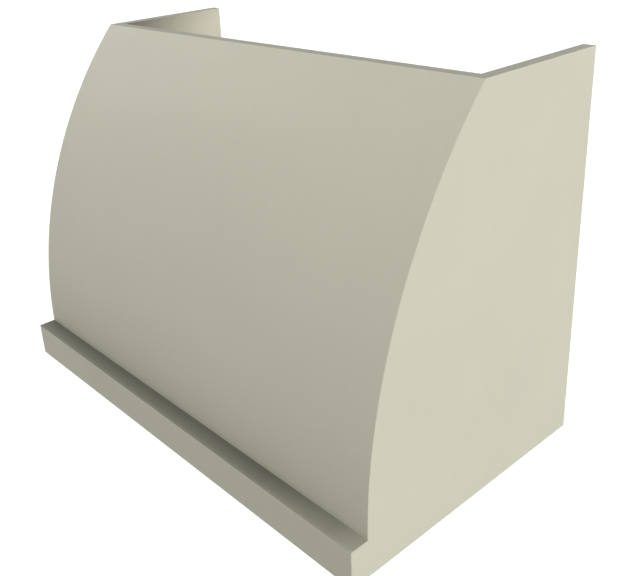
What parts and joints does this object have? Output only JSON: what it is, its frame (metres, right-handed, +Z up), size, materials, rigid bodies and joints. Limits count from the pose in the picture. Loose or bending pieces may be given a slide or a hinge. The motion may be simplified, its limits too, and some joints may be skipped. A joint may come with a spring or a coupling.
{
  "type": "wooden range hood cover",
  "caption": "Curved painted wooden cover that hangs on a kitchen wall round a vent insert, with a ledged band at its foot.",
  "frame": {"origin": "bottom centre of the whole cover: level with its foot, half way across, and half way from wall to band", "axes": "+X to the right as seen from the room, +Y to the wall, +Z up; the front faces -Y"},
  "size_m": [1.0668, 0.6096, 0.762],
  "materials": {
    "painted_wood": "satin",
    "bending_plywood": "matte",
    "birch_plywood": "matte",
    "poplar": "matte",
    "beech_dowel": "matte",
    "zinc_screw": "satin"
  },
  "bodies": {
    "root": {"left_side_panel": "painted_wood", "right_side_panel": "painted_wood", "outer_front_skin": "painted_wood", "band_front_board": "painted_wood", "band_backer_board": "painted_wood", "insert_front_rail": "painted_wood", "insert_back_rail": "painted_wood", "insert_left_stile": "painted_wood", "insert_right_stile": "painted_wood", "inner_front_skin": "bending_plywood", "left_side_rib": "birch_plywood", "right_side_rib": "birch_plywood", "middle_rib_1": "birch_plywood", "middle_rib_2": "birch_plywood", "middle_rib_3": "birch_plywood", "top_front_rail": "poplar", "front_ledger": "poplar", "left_ledger": "poplar", "right_ledger": "poplar", "top_wall_rail": "poplar", "bottom_wall_rail": "poplar", "band_dowels": "beech_dowel", "band_screws": "zinc_screw", "rib_screws": "zinc_screw", "side_rib_screws": "zinc_screw", "side_ledger_screws": "zinc_screw", "insert_frame_screws": "zinc_screw", "insert_frame_pocket_screws": "zinc_screw", "wall_rail_pocket_screws": "zinc_screw"}
  },
  "joints": []
}
